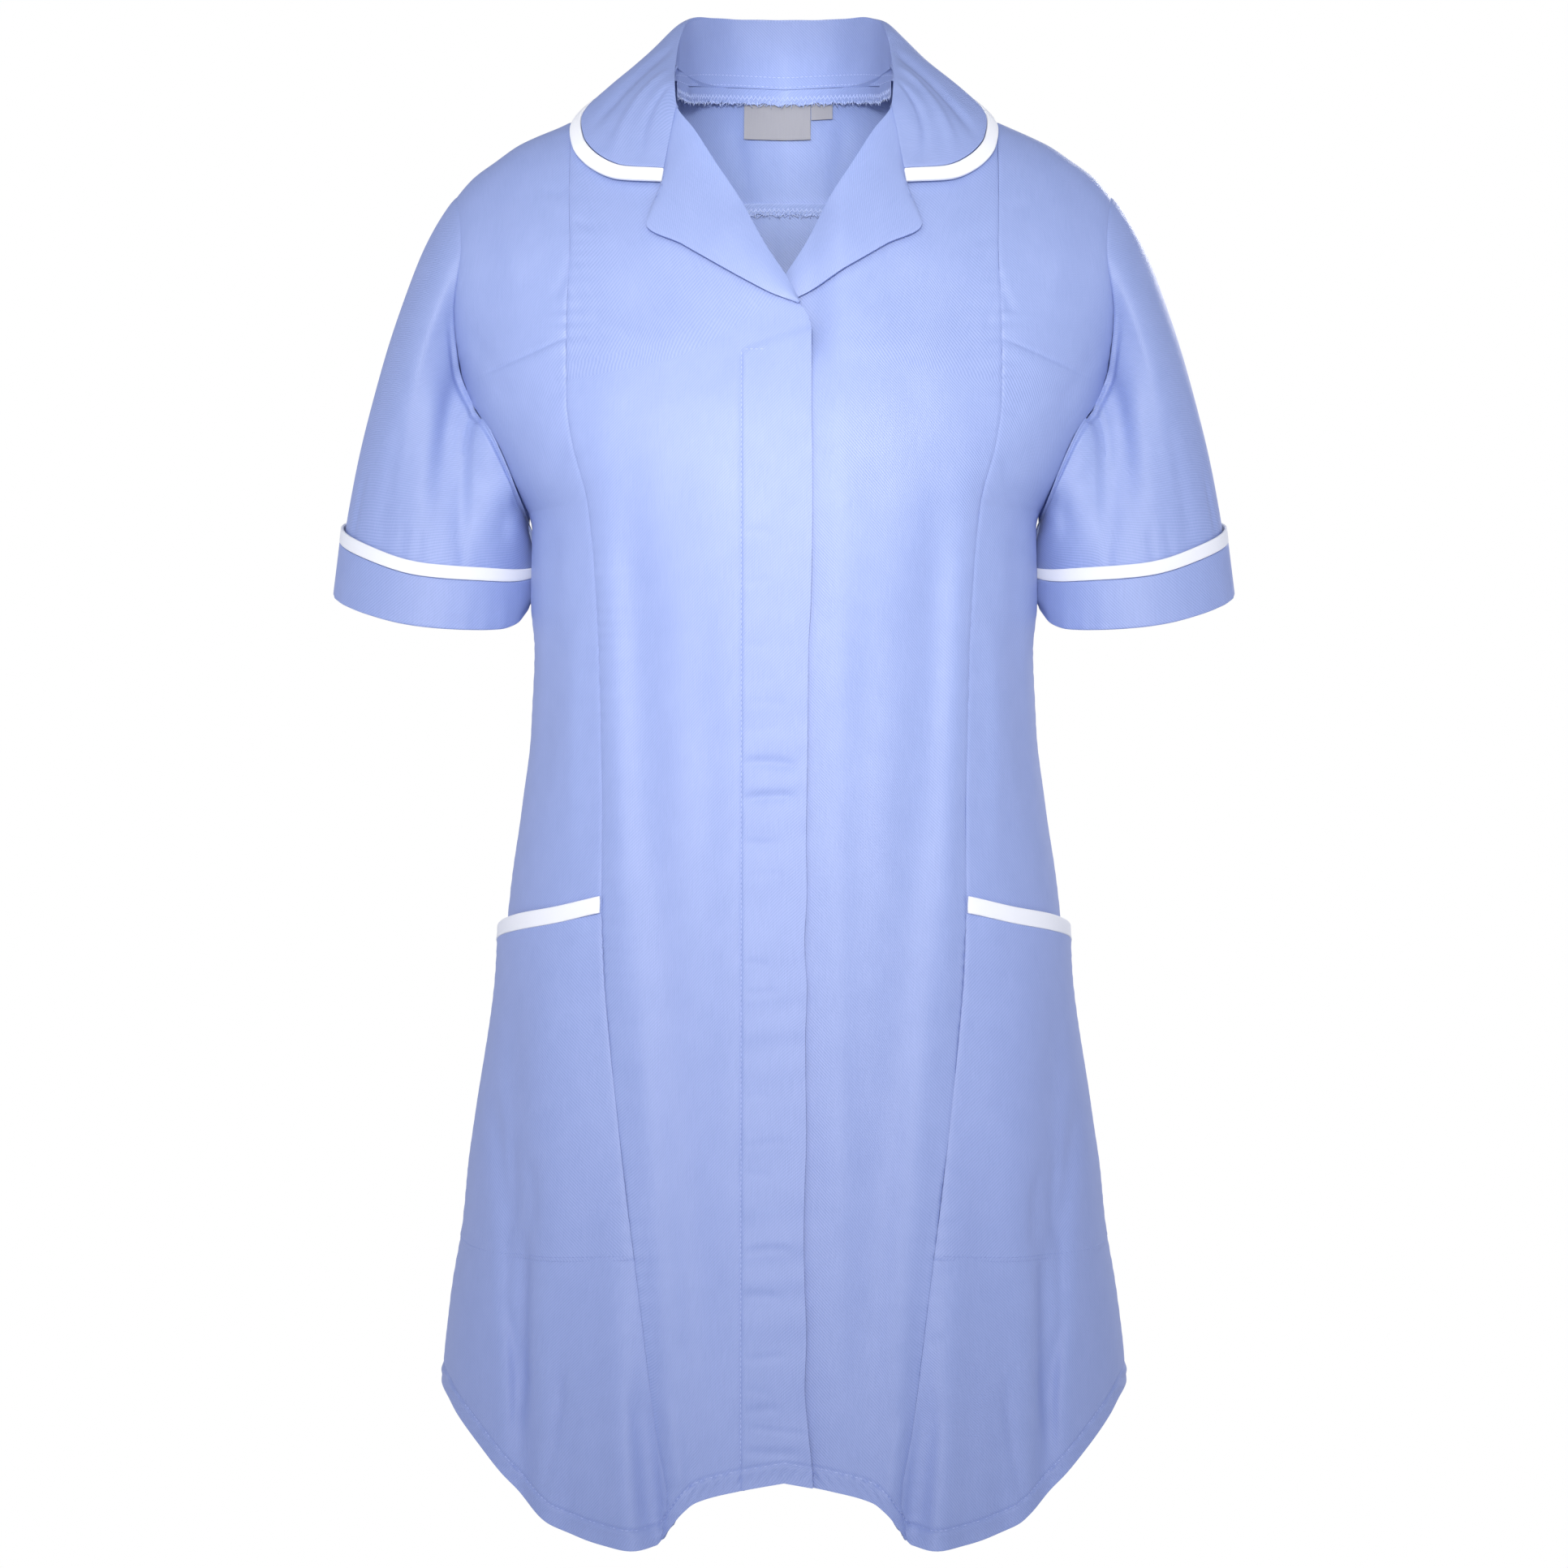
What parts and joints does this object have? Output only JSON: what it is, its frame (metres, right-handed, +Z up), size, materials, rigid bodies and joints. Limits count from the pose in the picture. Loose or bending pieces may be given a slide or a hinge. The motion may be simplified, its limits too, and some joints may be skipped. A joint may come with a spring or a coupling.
{
  "type": "maternity tunic",
  "caption": "Short-sleeved princess-seamed maternity tunic with notched collar, concealed front closure and hip pockets, open and filled out.",
  "frame": {"origin": "on the centre plane between the shoulders, level with the sides of the neck, where the tunic is held", "axes": "+Z up towards the neck, -Y out of the front, +X to the wearer's left"},
  "size_m": [0.5236, 0.2895, 0.8725],
  "materials": {
    "cloth": "fine diagonal twill, pale blue, matt",
    "trim": "fine plain cloth, near white, matt",
    "label": "woven label, grey, bare"
  },
  "bodies": {
    "root": {"back_panel": "cloth", "back_yoke": "cloth", "collar_fall": "cloth", "collar_stand": "cloth", "collar_trim": "trim", "cuff_left": "cloth", "cuff_right": "cloth", "cuff_trim_left": "trim", "cuff_trim_right": "trim", "front_left": "cloth", "front_right": "cloth", "neck_label": "label", "placket": "cloth", "pocket_left": "cloth", "pocket_right": "cloth", "pocket_trim_left": "trim", "pocket_trim_right": "trim", "rever_left": "cloth", "rever_right": "cloth", "side_front_left": "cloth", "side_front_right": "cloth", "size_label": "label", "sleeve_left": "cloth", "sleeve_right": "cloth"}
  },
  "joints": []
}
